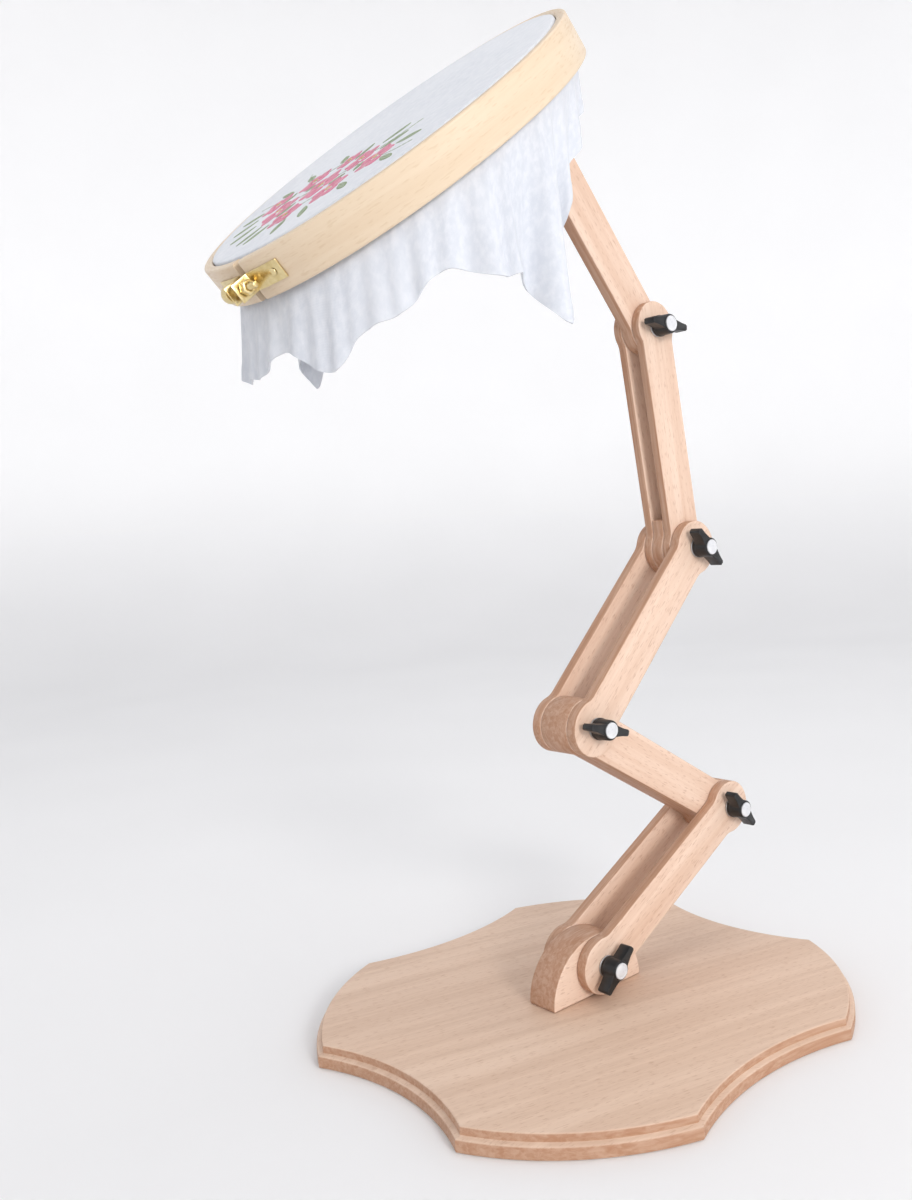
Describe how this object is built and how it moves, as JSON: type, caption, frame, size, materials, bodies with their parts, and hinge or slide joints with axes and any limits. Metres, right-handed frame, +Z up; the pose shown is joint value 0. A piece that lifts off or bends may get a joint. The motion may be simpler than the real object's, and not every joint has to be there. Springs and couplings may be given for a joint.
{
  "type": "embroidery hoop on stand",
  "caption": "Round embroidery hoop with stretched cloth, held in a wooden clamp on a jointed wooden arm that stands on a scalloped board.",
  "frame": {"origin": "middle of the board's underside", "axes": "+Z up along the height, +X along the hinge axes of the arm towards the wing knobs, +Y the side that the first elbow stands out to"},
  "size_m": [0.3416, 0.3969, 0.6667],
  "materials": {
    "beech": "fine sanded, unvarnished beech",
    "clamp_wood": "honey brown hardwood, sanded and oiled",
    "ring_wood": "pale bent wood, waxed",
    "knob_plastic": "black moulded plastic with a satin surface",
    "cap_plastic": "off-white moulded plastic",
    "zinc_steel": "bright zinc plated",
    "brass": "bright brass",
    "cotton": "plain woven white cotton"
  },
  "bodies": {
    "base": {"base_board": "beech", "foot_block": "beech", "foot_screw_front": "zinc_steel", "foot_screw_back": "zinc_steel"},
    "link_a": {"link_a_plate_left": "beech", "link_a_plate_right": "beech", "joint_0_bolt": "zinc_steel", "joint_0_washer": "zinc_steel", "joint_1_bolt": "zinc_steel", "joint_1_washer": "zinc_steel"},
    "link_b": {"link_b_bar": "beech"},
    "link_c": {"link_c_plate_left": "beech", "link_c_plate_right": "beech", "joint_2_bolt": "zinc_steel", "joint_2_washer": "zinc_steel", "joint_3_bolt": "zinc_steel", "joint_3_washer": "zinc_steel"},
    "link_d": {"link_d_plate_left": "beech", "link_d_plate_right": "beech", "link_d_filler": "beech", "joint_4_bolt": "zinc_steel", "joint_4_washer": "zinc_steel"},
    "link_e": {"link_e_bar": "beech", "joint_5_bolt": "zinc_steel", "joint_5_washer": "zinc_steel"},
    "clamp": {"clamp_block": "clamp_wood"},
    "clamp_front_screw": {"clamp_screw_front": "clamp_wood"},
    "clamp_rear_screw": {"clamp_screw_rear": "clamp_wood"},
    "hoop": {"hoop_inner_ring": "ring_wood", "hoop_outer_ring": "ring_wood", "cloth_drum": "cotton", "cloth_skirt": "cotton", "hoop_bracket_left": "brass", "hoop_bracket_right": "brass", "hoop_rivet_left": "brass", "hoop_rivet_right": "brass", "hoop_nut": "brass"},
    "hoop_tightening_screw": {"hoop_screw": "brass"},
    "knob_0": {"joint_0_wing_knob": "knob_plastic", "joint_0_knob_cap": "cap_plastic"},
    "knob_1": {"joint_1_wing_knob": "knob_plastic", "joint_1_knob_cap": "cap_plastic"},
    "knob_2": {"joint_2_wing_knob": "knob_plastic", "joint_2_knob_cap": "cap_plastic"},
    "knob_3": {"joint_3_wing_knob": "knob_plastic", "joint_3_knob_cap": "cap_plastic"},
    "knob_4": {"joint_4_wing_knob": "knob_plastic", "joint_4_knob_cap": "cap_plastic"},
    "knob_5": {"joint_5_wing_knob": "knob_plastic", "joint_5_knob_cap": "cap_plastic"}
  },
  "joints": [
    {"name": "foot_hinge", "type": "hinge", "parent": "base", "child": "link_a", "pos_m": [0, 0, 0.036], "axis": [1, 0, 0], "range_deg": [-28, 60]},
    {"name": "first_elbow", "type": "hinge", "parent": "link_a", "child": "link_b", "pos_m": [0, 0.1433, 0.11576], "axis": [-1, 0, 0], "range_deg": [-40, 100]},
    {"name": "second_elbow", "type": "hinge", "parent": "link_b", "child": "link_c", "pos_m": [0, 0.00392, 0.20218], "axis": [1, 0, 0], "range_deg": [-50, 75]},
    {"name": "third_elbow", "type": "hinge", "parent": "link_c", "child": "link_d", "pos_m": [0, 0.11825, 0.31975], "axis": [-1, 0, 0], "range_deg": [-70, 120]},
    {"name": "fourth_elbow", "type": "hinge", "parent": "link_d", "child": "link_e", "pos_m": [0, 0.09628, 0.48227], "axis": [1, 0, 0], "range_deg": [-120, 50]},
    {"name": "clamp_tilt", "type": "hinge", "parent": "link_e", "child": "clamp", "pos_m": [0, -0.00401, 0.61203], "axis": [-1, 0, 0], "range_deg": [-60, 85]},
    {"name": "knob_0_turn", "type": "hinge", "parent": "link_a", "child": "knob_0", "pos_m": [0.03, 0, 0.036], "axis": [1, 0, 0], "continuous": true},
    {"name": "knob_1_turn", "type": "hinge", "parent": "link_a", "child": "knob_1", "pos_m": [0.03, 0.1433, 0.11576], "axis": [1, 0, 0], "continuous": true},
    {"name": "knob_2_turn", "type": "hinge", "parent": "link_c", "child": "knob_2", "pos_m": [0.03, 0.00392, 0.20218], "axis": [1, 0, 0], "continuous": true},
    {"name": "knob_3_turn", "type": "hinge", "parent": "link_c", "child": "knob_3", "pos_m": [0.03, 0.11825, 0.31975], "axis": [1, 0, 0], "continuous": true},
    {"name": "knob_4_turn", "type": "hinge", "parent": "link_d", "child": "knob_4", "pos_m": [0.025, 0.09628, 0.48227], "axis": [1, 0, 0], "continuous": true},
    {"name": "knob_5_turn", "type": "hinge", "parent": "link_e", "child": "knob_5", "pos_m": [0.025, -0.00401, 0.61203], "axis": [1, 0, 0], "continuous": true},
    {"name": "clamp_front_screw_out", "type": "slide", "parent": "clamp", "child": "clamp_front_screw", "axis": [0, -0.7547, -0.6561], "range_m": [0, 0.006]},
    {"name": "clamp_rear_screw_out", "type": "slide", "parent": "clamp", "child": "clamp_rear_screw", "axis": [0, 0.7547, 0.6561], "range_m": [0, 0.006]},
    {"name": "hoop_lift", "type": "slide", "parent": "clamp", "child": "hoop", "axis": [0, -0.6561, 0.7547], "range_m": [0, 0.03]},
    {"name": "hoop_screw_turn", "type": "hinge", "parent": "hoop", "child": "hoop_tightening_screw", "pos_m": [0, -0.21807, 0.47737], "axis": [1, 0, 0], "continuous": true}
  ]
}
